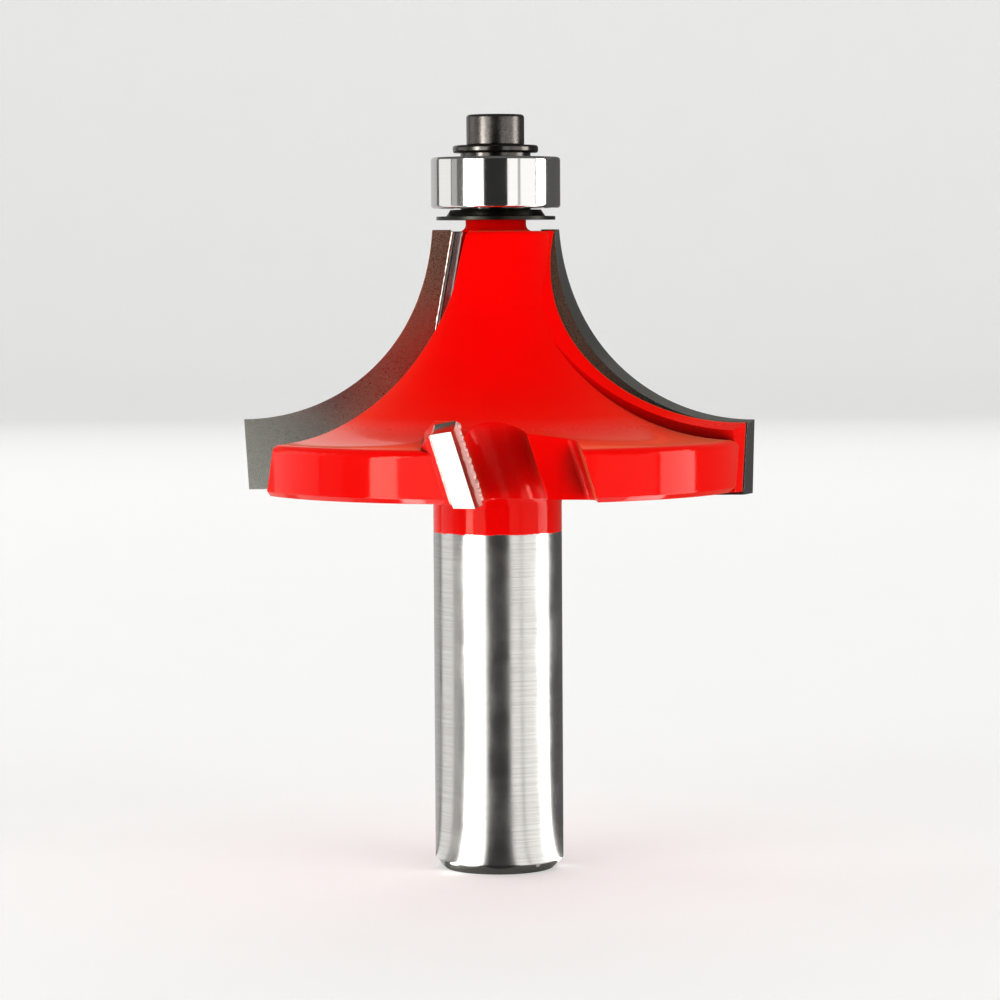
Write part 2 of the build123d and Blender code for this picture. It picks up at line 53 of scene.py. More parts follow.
LOG = logging.getLogger("router_bit")
MM = 0.001
Colour = tuple[float, float, float]
Span = tuple[float, float]
Socket = bpy.types.NodeSocket


class Rides(Enum):
    """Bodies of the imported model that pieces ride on."""

    BIT = "bit"
    OUTER_RING = "bearing_outer"


class Slot(Enum):
    """Names of finish slots, which nothing in the script uses."""

    BRAZE = "braze"
    BEARING_SHIELD = "bearing_shield"
    BLACK_OXIDE = "black_oxide"


class Finish(Enum):
    """Surface finishes of the bit's pieces."""

    PAINTED_BODY = "painted body"
    CARBIDE = "carbide"
    SMEAR_AND_REFLECTION_CARBIDE = "carbide smeared with solder"
    BRAZE = "braze"
    BRAZE_AND_REFLECTION = "bright braze"
    DARK_BRAZE = "tarnished braze"
    RING_STEEL = "ring steel"
    SHIELD_STEEL = "shield steel"
    CAGE_STEEL = "cage steel"
    BLACK_SCREW = "blackened screw"
    BLACK_WASHER = "blackened washer"
    BLACK_SHIELD = "black dust shield"


# ---------------------------------------------------------------- finishes


class Tree:
    """A node tree, with short calls that add nodes to it."""

    tree: bpy.types.NodeTree

    def link(self, source: object, target: Socket) -> None:
        """Feeds a socket from another socket or sets it to a number.

        Args:
            source: A socket, or a number, a colour or a vector.
            target: The input that takes it.
        """
        if isinstance(source, Socket):
            self.tree.links.new(source, target)
        else:
            target.default_value = source

    def math(self, kind: str, *values: object) -> Socket:
        """Adds a Math node.

        Args:
            kind: The node's operation.
            values: What its inputs take.

        Returns:
            The node's result.
        """
        node = self.tree.nodes.new("ShaderNodeMath")
        node.operation = kind
        for value, socket in zip(values, node.inputs):
            self.link(value, socket)
        return node.outputs[0]

    def vector(self, kind: str, *values: object) -> Socket:
        """Adds a Vector Math node.

        Args:
            kind: The node's operation.
            values: What its inputs take.

        Returns:
            The node's vector, or its value for an operation that gives a number.
        """
        node = self.tree.nodes.new("ShaderNodeVectorMath")
        node.operation = kind
        for value, socket in zip(values, node.inputs):
            self.link(value, socket)
        return node.outputs["Value" if kind in ("DOT_PRODUCT", "LENGTH") else "Vector"]


class Shading(Tree):
    """A material's node tree with one Principled shader."""

    OPENNESS_SAMPLES = 8
    EDGE_SAMPLES = 6

    def __init__(self, name: str) -> None:
        """Starts a material.

        Args:
            name: The material's name.
        """
        self.material = bpy.data.materials.new(name)
        self.material.use_nodes = True
        self.tree = self.material.node_tree
        self.shader = next(n for n in self.tree.nodes if n.type == "BSDF_PRINCIPLED")
        coordinates = self.tree.nodes.new("ShaderNodeTexCoord")
        self.place = coordinates.outputs["Object"]

    def axes(self) -> list[Socket]:
        """Splits the piece's own coordinates into X, Y and Z.

        Returns:
            The three parts.
        """
        node = self.tree.nodes.new("ShaderNodeSeparateXYZ")
        self.link(self.place, node.inputs[0])
        return list(node.outputs)

    def joined(self, x: object, y: object, z: object) -> Socket:
        """Joins three numbers into a vector.

        Args:
            x: The first part.
            y: The second part.
            z: The third part.

        Returns:
            The vector.
        """
        node = self.tree.nodes.new("ShaderNodeCombineXYZ")
        for value, socket in zip((x, y, z), node.inputs):
            self.link(value, socket)
        return node.outputs[0]

    def noise(
        self, size: float, detail: float = 2.0, at: Socket | None = None, rough: float = 0.5
    ) -> Socket:
        """Adds a noise pattern.

        Args:
            size: The size of its features in metres, or in units of `at`.
            detail: The number of finer layers.
            at: Where it is read, or None for the piece's own coordinates.
            rough: How strong the finer layers are.

        Returns:
            The pattern, from 0 to 1.
        """
        node = self.tree.nodes.new("ShaderNodeTexNoise")
        self.link(at or self.place, node.inputs["Vector"])
        node.inputs["Scale"].default_value = 1 / size
        node.inputs["Detail"].default_value = detail
        node.inputs["Roughness"].default_value = rough
        return node.outputs["Fac"]

    def ramp(
        self, source: Socket, low: float, high: float, to: Span = (0.0, 1.0)
    ) -> Socket:
        """Maps a range of a number smoothly onto another range.

        Args:
            source: The number.
            low: Where the change starts.
            high: Where it ends.
            to: The result at each end.

        Returns:
            The mapped number.
        """
        node = self.tree.nodes.new("ShaderNodeMapRange")
        node.interpolation_type = "SMOOTHSTEP"
        self.link(source, node.inputs["Value"])
        for name, value in zip(("From Min", "From Max", "To Min", "To Max"), (low, high, *to)):
            node.inputs[name].default_value = value
        return node.outputs["Result"]

    def spread(self, noise: Socket, to: Span = (0.0, 1.0)) -> Socket:
        """Spreads the middle of a noise's range, where most of it lies, over a range.

        Args:
            noise: The noise.
            to: The range.

        Returns:
            The spread noise.
        """
        return self.ramp(noise, 0.3, 0.7, to)

    def radius(self) -> Socket:
        """The distance from the bit's axis.

        Returns:
            The distance in metres.
        """
        x, y, _ = self.axes()
        return self.math("SQRT", self.math("ADD", self.math("MULTIPLY", x, x), self.math("MULTIPLY", y, y)))

    def normal(self) -> Socket:
        """The direction that the surface faces.

        Returns:
            The normal.
        """
        return self.tree.nodes.new("ShaderNodeNewGeometry").outputs["Normal"]

    def blend(self, share: object, first: object, second: object) -> Socket:
        """Mixes two colours.

        Args:
            share: How much of the second colour shows.
            first: The first colour.
            second: The second colour.

        Returns:
            The mixed colour.
        """
        node = self.tree.nodes.new("ShaderNodeMix")
        node.data_type = "RGBA"
        for name, value in (("Factor_Float", share), ("A_Color", first), ("B_Color", second)):
            socket = next(s for s in node.inputs if s.identifier == name)
            if isinstance(value, tuple):
                value = (*value, 1.0)
            self.link(value, socket)
        return next(s for s in node.outputs if s.identifier == "Result_Color")

    def mixed(self, share: object, first: object, second: object) -> Socket:
        """Mixes two numbers.

        Args:
            share: How much of the second number shows.
            first: The first number.
            second: The second number.

        Returns:
            The mixed number.
        """
        node = self.tree.nodes.new("ShaderNodeMix")
        for name, value in (("Factor_Float", share), ("A_Float", first), ("B_Float", second)):
            self.link(value, next(s for s in node.inputs if s.identifier == name))
        return next(s for s in node.outputs if s.identifier == "Result_Float")

    def bump(self, height: Socket, depth: float, under: object = None) -> Socket:
        """Turns a height into a normal.

        Args:
            height: The pattern, from 0 to 1.
            depth: The relief in metres from 0 to 1.
            under: A normal that it is laid over.

        Returns:
            The normal.
        """
        node = self.tree.nodes.new("ShaderNodeBump")
        node.inputs["Strength"].default_value = 1.0
        node.inputs["Distance"].default_value = depth
        self.link(height, node.inputs["Height"])
        if under is not None:
            self.link(under, node.inputs["Normal"])
        return node.outputs[0]

    def openness(self, reach: float) -> Socket:
        """How open the surface is to what lies round it.

        Args:
            reach: How far it looks, in metres.

        Returns:
            1 on an open surface, less in a recess.
        """
        node = self.tree.nodes.new("ShaderNodeAmbientOcclusion")
        node.samples = self.OPENNESS_SAMPLES
        node.only_local = True
        node.inputs["Distance"].default_value = reach
        return node.outputs["AO"]

    def eased(self, radius: float) -> Socket:
        """Rounds the edges in the shading.

        Args:
            radius: The radius of the edges in metres.

        Returns:
            The normal.
        """
        node = self.tree.nodes.new("ShaderNodeBevel")
        node.samples = self.EDGE_SAMPLES
        node.inputs["Radius"].default_value = radius
        return node.outputs[0]

    def set(self, **values: object) -> None:
        """Sets or feeds inputs of the shader.

        Args:
            values: Input names, with underscores for spaces, and what each takes.
        """
        for name, value in values.items():
            socket = self.shader.inputs[name.replace("_", " ")]
            if isinstance(value, tuple):
                value = (*value, 1.0)
            self.link(value, socket)


@dataclass(frozen=True)
class GroundSteel:
    """Steel ground round the bit's axis, with fine uneven rings."""

    colour: Colour = (0.54, 0.525, 0.50)
    roughness: float = 0.21
    ring_pitch: float = 0.11 * MM
    ring_depth: float = 0.0003 * MM
    groove: Colour = (0.46, 0.445, 0.42)
    squeeze: float = 0.012

    def pattern(self, look: Shading) -> tuple[Socket, Socket]:
        """Adds the ring pattern.

        Args:
            look: The material.

        Returns:
            The height of the rings, and a slow unevenness.
        """
        squeezed = look.vector("MULTIPLY", look.place, (self.squeeze, self.squeeze, 1.0))
        fine = look.noise(self.ring_pitch, 5.0, squeezed, 0.65)
        slow = look.noise(4 * MM, 2.0)
        return fine, slow


@dataclass(frozen=True)
class PaintedBody:
    """Red enamel over ground steel, bare below a level and on the strips ground with the plates; shade is
    painted into its recesses.
    """

    name: str = "red enamel and ground steel"
    red: Colour = (0.86, 0.0008, 0.0006)
    deep_red: Colour = (0.66, 0.0006, 0.0004)
    paint_level: float = 33.4 * MM
    glint: Colour = (1.0, 0.48, 0.38)
    sheen: Colour = (1.0, 0.32, 0.14)
    sheen_weight: float = 0.4
    # Painted shade: the dark colour that the paint is mixed towards in recesses, and how far the openness
    # lookup reaches.
    shade: Colour = (0.09, 0.0004, 0.0003)
    recess: float = 6.0 * MM
    nose_level: float = 62.9 * MM
    disc_level: float = 37.6 * MM
    gloss_level: float = 44.2 * MM
    strip_lead: float = 1.2 * MM
    strip_level: float = 63.05 * MM
    strip_shear: float = 14.0
    inner_top: float = 4.35 * MM
    inner_slope: float = 10.0
    orange_peel: float = 0.9 * MM
    edge: float = 0.22 * MM
    matt_roughness: Span = (0.5, 0.6)
    gloss_roughness: Span = (0.06, 0.1)
    # Openness where the painted shade begins and where it is full.
    painted_shade_openness: Span = (0.87, 0.66)
    # Colour and span of the dark line beside each large plate's solder.
    dark_seam_colour: Colour = (0.07, 0.062, 0.055)
    dark_seam_span: Span = (0.25 * MM, 0.49 * MM)
    steel: GroundSteel = field(default_factory=GroundSteel)

    def bare(self, look: Shading) -> Socket:
        """Where steel shows: below the paint's ragged edge, and on both ground strips.

        Args:
            look: The material.

        Returns:
            1 on bare steel and 0 on paint.
        """
        _, y, z = look.axes()
        wander = look.spread(look.noise(1.1 * MM, 3.0), (-0.05 * MM, 0.05 * MM))
        edge = look.math("ADD", z, wander)
        shank = look.ramp(edge, self.paint_level + 0.03 * MM, self.paint_level - 0.03 * MM)
        slope = tan(radians(self.strip_shear))
        normal = look.normal()
        masks = []
        for side in (1, -1):
            climb = look.math("MULTIPLY", look.math("SUBTRACT", z, self.strip_level), slope)
            plane = look.math("MULTIPLY", look.math("ADD", climb, self.strip_lead), side)
            offset = look.math("ABSOLUTE", look.math("SUBTRACT", y, plane))
            near = look.ramp(offset, 0.045 * MM, 0.02 * MM)
            facing = Vector((0, side * cos(radians(self.strip_shear)), -sin(radians(self.strip_shear))))
            facing = look.vector("DOT_PRODUCT", normal, tuple(facing))
            masks.append(look.math("MULTIPLY", near, look.ramp(facing, 0.985, 0.995)))
        strips = look.math("MAXIMUM", *masks)
        return look.math("MAXIMUM", shank, strips)

    def dark_seam_line(self, look: Shading) -> Socket:
        """Where the dark line runs beside each large plate's solder.

        Args:
            look: The material.

        Returns:
            1 on the line and 0 elsewhere.
        """
        x, _, z = look.axes()
        slope = tan(radians(self.inner_slope)) / cos(radians(self.strip_shear))
        drop = look.math("SUBTRACT", self.strip_level, z)
        edge = look.math("MULTIPLY_ADD", drop, slope, self.inner_top)
        gap = look.math("SUBTRACT", edge, look.math("ABSOLUTE", x))
        near, far = self.dark_seam_span
        past, before = look.ramp(gap, near, near + 0.04 * MM), look.ramp(gap, far + 0.03 * MM, far)
        line = look.math("MULTIPLY", past, before)
        return look.math("MULTIPLY", line, look.ramp(z, self.paint_level, self.paint_level + MM))

    def material(self) -> bpy.types.Material:
        """Builds the material.

        Returns:
            The material.
        """
        look = Shading(self.name)
        bare = self.bare(look)
        fine, slow = self.steel.pattern(look)
        peel = look.noise(self.orange_peel, 2.0)
        speck = look.noise(0.22 * MM, 2.0)
        cloud = look.noise(7 * MM, 2.0)
        paint = look.blend(look.ramp(cloud, 0.25, 0.75, (0.0, 0.22)), self.red, self.deep_red)
        z = look.axes()[2]
        below_nose = look.ramp(z, self.nose_level, self.nose_level - 0.1 * MM)
        above_rim = look.ramp(z, self.disc_level - 0.5 * MM, self.disc_level + MM)
        head = look.math("MULTIPLY", below_nose, above_rim)
        # Painted shade: between the rim and the nose the paint darkens in recesses, where shade falls, and
        # loses its gloss there.
        painted_shade = look.math("MULTIPLY", look.ramp(look.openness(self.recess), *self.painted_shade_openness), head)
        paint = look.blend(painted_shade, paint, self.shade)
        steel = look.blend(look.spread(fine), self.steel.colour, self.steel.groove)
        # A dark line coloured into the ground strip beside each large plate's solder.
        steel = look.blend(self.dark_seam_line(look), steel, self.dark_seam_colour)
        look.set(Base_Color=look.blend(bare, paint, steel))
        look.set(Metallic=bare)
        gloss = look.ramp(z, self.gloss_level + MM, self.gloss_level - MM)
        gloss = look.math("MULTIPLY", gloss, look.mixed(painted_shade, 1.0, 0.0))
        matt, glossy = look.spread(speck, self.matt_roughness), look.spread(speck, self.gloss_roughness)
        rough_paint = look.mixed(gloss, matt, glossy)
        rough_steel = look.spread(slow, (self.steel.roughness - 0.03, self.steel.roughness + 0.05))
        look.set(Roughness=look.mixed(bare, rough_paint, rough_steel))
        rings = look.bump(look.math("MULTIPLY", fine, bare), self.steel.ring_depth, look.eased(self.edge))
        painted = look.math("SUBTRACT", 1.0, bare)
        look.set(Normal=look.bump(look.math("MULTIPLY", peel, painted), 0.005 * MM, rings))
        look.set(Specular_IOR_Level=look.mixed(bare, look.mixed(gloss, 0.004, 0.2), 0.5))
        look.set(Specular_Tint=look.blend(bare, self.glint, (1.0, 1.0, 1.0)))
        look.set(Sheen_Weight=look.math("MULTIPLY", painted, self.sheen_weight))
        look.set(Sheen_Roughness=0.35, Sheen_Tint=self.sheen)
        return look.material


@dataclass(frozen=True)
class Carbide:
    """Fine-ground sintered carbide: dark, slightly warm, with faint grinding lines."""

    name: str = "ground carbide"
    light: Colour = (0.108, 0.106, 0.094)
    dark: Colour = (0.083, 0.081, 0.071)
    warm: Colour = (0.49, 0.26, 0.175)
    flank: Colour = (0.40, 0.39, 0.36)
    warm_reach: float = 6 * MM
    cool_reach: float = 18 * MM
    # A pink solder film on the small plates' rake faces; the pink is partly a painted reflection of the red
    # paint round them.
    solder: Colour = (0.84, 0.60, 0.54)
    smear_and_reflection_reach: float = 0.0
    ragged: float = 0.7 * MM
    grain: float = 0.09 * MM
    roughness: float = 0.29
    flank_roughness: float = 0.16
    slant: tuple[float, float, float] = (0.08, 0.5, 1.0)

    def material(self) -> bpy.types.Material:
        """Builds the material.

        Returns:
            The material.
        """
        look = Shading(self.name)
        x, y, _ = look.axes()
        slanted = look.vector("MULTIPLY", look.place, self.slant)
        lines = look.noise(0.06 * MM, 4.0, slanted, 0.6)
        grain = look.noise(self.grain, 3.0, None, 0.7)
        both = look.mixed(0.55, lines, grain)
        plain = look.blend(look.ramp(both, 0.35, 0.65), self.dark, self.light)
        # The face turns warmer towards the bit's axis, fading out between the two reaches.
        towards_axis = look.ramp(look.math("ABSOLUTE", x), self.warm_reach, self.cool_reach, (0.75, 0.0))
        around = look.vector("NORMALIZE", look.joined(look.math("MULTIPLY", y, -1.0), x, 0.0))
        normal = look.normal()
        facing = look.math("ABSOLUTE", look.vector("DOT_PRODUCT", normal, around))
        flank = look.ramp(facing, 0.7, 0.5)
        face = look.blend(towards_axis, plain, self.warm)
        # Inside a radius the small plates carry a solder film, mostly not metallic, whose pink is partly a
        # painted reflection of the red paint.
        if self.smear_and_reflection_reach:
            spots = look.spread(look.noise(0.5 * MM, 4.0), (-self.ragged, self.ragged))
            reach = look.math("ADD", look.radius(), spots)
            smear_and_reflection = look.ramp(reach, self.smear_and_reflection_reach + 0.3 * MM, self.smear_and_reflection_reach - 0.3 * MM)
            face = look.blend(smear_and_reflection, face, self.solder)
            bare = look.math("MAXIMUM", flank, look.math("SUBTRACT", 1.0, smear_and_reflection))
            look.set(Metallic=look.mixed(bare, 0.3, 1.0))
        else:
            look.shader.inputs["Metallic"].default_value = 1.0
        look.set(Base_Color=look.blend(flank, face, self.flank))
        face_rough = look.spread(grain, (self.roughness - 0.06, self.roughness + 0.08))
        look.set(Roughness=look.mixed(flank, face_rough, self.flank_roughness))
        look.set(Normal=look.bump(both, 0.0012 * MM, look.eased(0.04 * MM)))
        return look.material


@dataclass(frozen=True)
class PlainMetal:
    """A metal with a fine grain: polished rings, pressed shields, braze or blackened steel."""

    name: str
    light: Colour
    dark: Colour
    roughness: float
    metallic: float = 1.0
    grain: float = 0.3 * MM
    depth: float = 0.0006 * MM
    edge: float = 0.04 * MM
    turned: bool = False

    def material(self) -> bpy.types.Material:
        """Builds the material.

        Returns:
            The material.
        """
        look = Shading(self.name)
        at = look.joined(look.radius(), 0.0, look.axes()[2]) if self.turned else None
        grain = look.noise(self.grain, 4.0, at, 0.6)
        cloud = look.noise(2.2 * MM, 2.0)
        look.set(Base_Color=look.blend(look.spread(grain), self.dark, self.light))
        look.shader.inputs["Metallic"].default_value = self.metallic
        look.set(Roughness=look.spread(cloud, (self.roughness * 0.85, self.roughness * 1.2)))
        look.set(Normal=look.bump(grain, self.depth, look.eased(self.edge)))
        return look.material


FINISHES: dict[Finish, PaintedBody | Carbide | PlainMetal] = {
    Finish.PAINTED_BODY: PaintedBody(),
    Finish.CARBIDE: Carbide(),
    # Small plates: ground carbide with a solder film whose pink is partly a painted reflection.
    Finish.SMEAR_AND_REFLECTION_CARBIDE: Carbide("ground carbide smeared with solder", smear_and_reflection_reach=22.8 * MM),
    Finish.BRAZE: PlainMetal(
        "silver solder", (0.80, 0.70, 0.64), (0.55, 0.42, 0.36), 0.3, grain=0.25 * MM, depth=0.004 * MM
    ),
    Finish.DARK_BRAZE: PlainMetal(
        "tarnished solder", (0.12, 0.055, 0.045), (0.07, 0.03, 0.025), 0.45, grain=0.25 * MM, depth=0.003 * MM
    ),
    # Solder for the small plates' beads, coloured pink and partly diffuse as a painted reflection of the red
    # paint round them.
    Finish.BRAZE_AND_REFLECTION: PlainMetal(
        "bright solder", (0.92, 0.62, 0.57), (0.70, 0.33, 0.29), 0.42,
        metallic=0.45, grain=0.2 * MM, depth=0.006 * MM,
    ),
    Finish.RING_STEEL: PlainMetal(
        "bearing steel", (0.68, 0.67, 0.65), (0.62, 0.61, 0.59), 0.08,
        grain=0.05 * MM, depth=0.0001 * MM, turned=True,
    ),
    Finish.SHIELD_STEEL: PlainMetal(
        "pressed shield", (0.55, 0.54, 0.52), (0.47, 0.46, 0.44), 0.27, grain=0.08 * MM, turned=True
    ),
    Finish.CAGE_STEEL: PlainMetal("cage steel", (0.50, 0.49, 0.47), (0.40, 0.39, 0.37), 0.35),
    Finish.BLACK_SCREW: PlainMetal(
        "blackened screw", (0.125, 0.113, 0.104), (0.070, 0.063, 0.056), 0.27,
        grain=0.16 * MM, depth=0.0012 * MM,
    ),
    Finish.BLACK_WASHER: PlainMetal(
        "blackened washer", (0.11, 0.10, 0.09), (0.055, 0.05, 0.044), 0.19,
        grain=0.12 * MM, depth=0.0008 * MM, edge=0.08 * MM,
    ),
    Finish.BLACK_SHIELD: PlainMetal(
        "black dust shield", (0.030, 0.030, 0.024), (0.020, 0.020, 0.016), 0.32,
        grain=0.12 * MM, depth=0.0008 * MM, edge=0.08 * MM,
    ),
}


@cache
def material_of(finish: Finish) -> bpy.types.Material:
    """Makes a finish's material the first time, and hands the same one out after that.

    Args:
        finish: The finish.

    Returns:
        Its material.
    """
    return FINISHES[finish].material()


# ---------------------------------------------------------------- pieces


@dataclass
class PackedPieces:
    """The nodes whose shape is right as packed, each with its finish."""

    finishes: dict[str, Finish] = field(
        default_factory=lambda: {
            "body": Finish.PAINTED_BODY,
            "large_cutter": Finish.CARBIDE,
            "small_cutter": Finish.SMEAR_AND_REFLECTION_CARBIDE,
            "large_braze": Finish.DARK_BRAZE,
            "small_braze": Finish.BRAZE,
            "bearing_inner_ring": Finish.RING_STEEL,
            "bearing_outer_ring": Finish.RING_STEEL,
            "bearing_ball": Finish.RING_STEEL,
            "bearing_lower_shield": Finish.SHIELD_STEEL,
            "bearing_upper_shield": Finish.SHIELD_STEEL,
            "bearing_cage": Finish.CAGE_STEEL,
            "dust_shield": Finish.BLACK_SHIELD,
            "stop_washer": Finish.BLACK_WASHER,
            "cap_screw": Finish.BLACK_SCREW,
        }
    )

    def dress(self) -> None:
        """Gives every node its material."""
        for name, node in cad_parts.items():
            finish = next(f for start, f in self.finishes.items() if name.startswith(start))
            node.data.materials.clear()
            node.data.materials.append(material_of(finish))
            LOG.info("%s: %s", name, finish.value)


def placed(name: str, data: bpy.types.ID) -> bpy.types.Object:
    """Puts a new object in the scene.

    Args:
        name: Its name.
        data: Its mesh, camera or lamp.

    Returns:
        The object.
    """
    thing = bpy.data.objects.new(name, data)
    bpy.context.scene.collection.objects.link(thing)
    return thing


def seated(piece: bpy.types.Object, rides: Rides) -> bpy.types.Object:
    """Puts a finished piece on its body.

    Args:
        piece: The piece.
        rides: The body that carries it.

    Returns:
        The piece.
    """
    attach(piece, rides.value)
    LOG.info("%s: %d faces on %s", piece.name, len(piece.data.polygons), rides.value)
    return piece


class Rings:
    """A mesh skinned over rings of points that all have the same count."""

    COUNT = 96
    SHARP_ANGLE = 32

    def __init__(self) -> None:
        """Starts with no ring."""
        self.rings: list[list[Vector]] = []

    def circle(self, radius: float, level: float) -> None:
        """Adds a round ring.

        Args:
            radius: Its radius.
            level: Its level.
        """
        self.flat(lambda angle: radius, level)

    def hexagon(self, flats: float, level: float) -> None:
        """Adds a six-sided ring.

        Args:
            flats: The width across its flats.
            level: Its level.
        """
        sixth = pi / 3
        self.flat(lambda angle: flats / 2 / cos((angle + sixth / 2) % sixth - sixth / 2), level)

    def flat(self, radius_at: Callable[[float], float], level: float) -> None:
        """Adds a level ring whose radius depends on the angle.

        Args:
            radius_at: The radius for an angle in radians.
            level: Its level.
        """
        angles = [2 * pi * i / self.COUNT for i in range(self.COUNT)]
        self.rings.append([Vector((radius_at(a) * cos(a), radius_at(a) * sin(a), level)) for a in angles])

    def piece(self, name: str, material: bpy.types.Material, looped: bool = False) -> bpy.types.Object:
        """Makes the piece.

        Args:
            name: Its name.
            material: Its material.
            looped: Whether the last ring joins the first, as on a hollow ring; otherwise both are closed.

        Returns:
            The piece.
        """
        count, rings = self.COUNT, len(self.rings)
        faces = []
        for i in range(rings if looped else rings - 1):
            low, high = i * count, (i + 1) % rings * count
            pairs = [(k, (k + 1) % count) for k in range(count)]
            faces += [(low + k, low + after, high + after, high + k) for k, after in pairs]
        if not looped:
            last = (rings - 1) * count
            faces += [tuple(reversed(range(count))), tuple(range(last, last + count))]
        mesh = bpy.data.meshes.new(name)
        mesh.from_pydata([p for ring in self.rings for p in ring], [], faces)
        shape = bmesh.new()
        shape.from_mesh(mesh)
        bmesh.ops.recalc_face_normals(shape, faces=shape.faces)
        shape.to_mesh(mesh)
        mesh.shade_smooth()
        mesh.set_sharp_from_angle(angle=radians(self.SHARP_ANGLE))
        mesh.materials.append(material)
        return placed(name, mesh)


class Graph(Tree):
    """A Geometry Nodes tree with named inputs."""

    def __init__(self, name: str) -> None:
        """Starts a tree that takes a shape and gives a shape.

        Args:
            name: The tree's name.
        """
        self.tree = bpy.data.node_groups.new(name, "GeometryNodeTree")
        for side in ("INPUT", "OUTPUT"):
            self.tree.interface.new_socket("Shape", in_out=side, socket_type="NodeSocketGeometry")
        self.given = self.tree.nodes.new("NodeGroupInput")
        self.result = self.tree.nodes.new("NodeGroupOutput")

    def input(self, name: str, kind: str = "Float") -> Socket:
        """Adds a named input.

        Args:
            name: Its name.
            kind: Its type, as in Blender's socket names.

        Returns:
            The socket that gives its value.
        """
        self.tree.interface.new_socket(name, in_out="INPUT", socket_type=f"NodeSocket{kind}")
        return self.given.outputs[name]

    def add(self, kind: str, mode: str | None = None, **values: object) -> bpy.types.Node:
        """Adds a node.

        Args:
            kind: The node's type.
            mode: Its mode or operation, if it has one.
            values: Input names, with underscores for spaces, and what each takes.

        Returns:
            The node.
        """
        node = self.tree.nodes.new(kind)
        if mode is not None:
            setattr(node, "operation" if hasattr(node, "operation") else "mode", mode)
        for name, value in values.items():
            self.link(value, node.inputs[name.replace("_", " ")])
        return node

    def close(self, shape: Socket) -> None:
        """Ends the tree: smooth, made real and with its material.

        Args:
            shape: The shape to give.
        """
        smooth = self.add("GeometryNodeSetShadeSmooth", Geometry=shape)
        real = self.add("GeometryNodeRealizeInstances", Geometry=smooth.outputs[0])
        finish = self.input("Material", "Material")
        dressed = self.add("GeometryNodeSetMaterial", Geometry=real.outputs[0], Material=finish)
        self.tree.links.new(dressed.outputs[0], self.result.inputs["Shape"])

    def piece(self, name: str, guide: bpy.types.Mesh, **values: object) -> bpy.types.Object:
        """Runs the tree on a guide and keeps the result as a plain mesh.

        Args:
            name: The piece's name.
            guide: The mesh that the tree takes.
            values: Input names, with underscores for spaces, and their values.

        Returns:
            The piece.
        """
        piece = placed(name, guide)
        modifier = piece.modifiers.new(name, "NODES")
        modifier.node_group = self.tree
        sockets = {item.name: item.identifier for item in self.tree.interface.items_tree}
        for label, value in values.items():
            modifier[sockets[label.replace("_", " ")]] = value
        evaluated = piece.evaluated_get(bpy.context.evaluated_depsgraph_get())
        mesh = bpy.data.meshes.new_from_object(evaluated)
        piece.modifiers.remove(modifier)
        piece.data = mesh
        mesh.name = name
        return piece


def evenly(start: float, end: float, count: int) -> list[float]:
    """Values at even steps, with both ends.

    Args:
        start: The first value.
        end: The last value.
        count: How many there are.

    Returns:
        The values.
    """
    return [start + (end - start) * i / (count - 1) for i in range(count)]


def guide_lines(name: str, lines: Iterable[list[Vector]]) -> bpy.types.Mesh:
    """Makes a mesh of edges for a tree to follow.

    Args:
        name: The mesh's name.
        lines: The points of each line.

    Returns:
        The mesh.
    """
    points, edges = [], []
    for line in lines:
        edges += [(len(points) + i, len(points) + i + 1) for i in range(len(line) - 1)]
        points += line
    mesh = bpy.data.meshes.new(name)
    mesh.from_pydata(points, edges, [])
    return mesh


@dataclass(frozen=True)
class Seat:
    """The rake plane of a plate: its angle round the bit, its lead ahead of the axis, lean and level."""

    angle: float
    lead: float
    shear: float
    level: float

    def point(
        self, level: float, depth: float, out: float | None = None, radius: float | None = None
    ) -> Vector:
        """A point of the plane that lies `depth` behind the rake face.

        Args:
            level: Its level.
            depth: The plane's depth.
            out: How far out of the bit it lies, or None to go by the radius.
            radius: Its radius from the bit's axis.

        Returns:
            The point in the row frame.
        """
        lean = radians(self.shear)
        height = (level - self.level - depth * sin(lean)) / cos(lean)
        ahead = self.lead - depth * cos(lean) + height * sin(lean)
        if out is None:
            out = sqrt(max(radius**2 - ahead**2, 0.0))
        return Matrix.Rotation(radians(self.angle), 3, "Z") @ Vector((out, ahead, level))


@dataclass(frozen=True)
class Bead:
    """A bead of solder: its line, its finish, its radius, how far it wanders and its lumps' size."""

    name: str
    line: list[Vector]
    finish: Finish
    radius: float
    wander: float
    lump: float


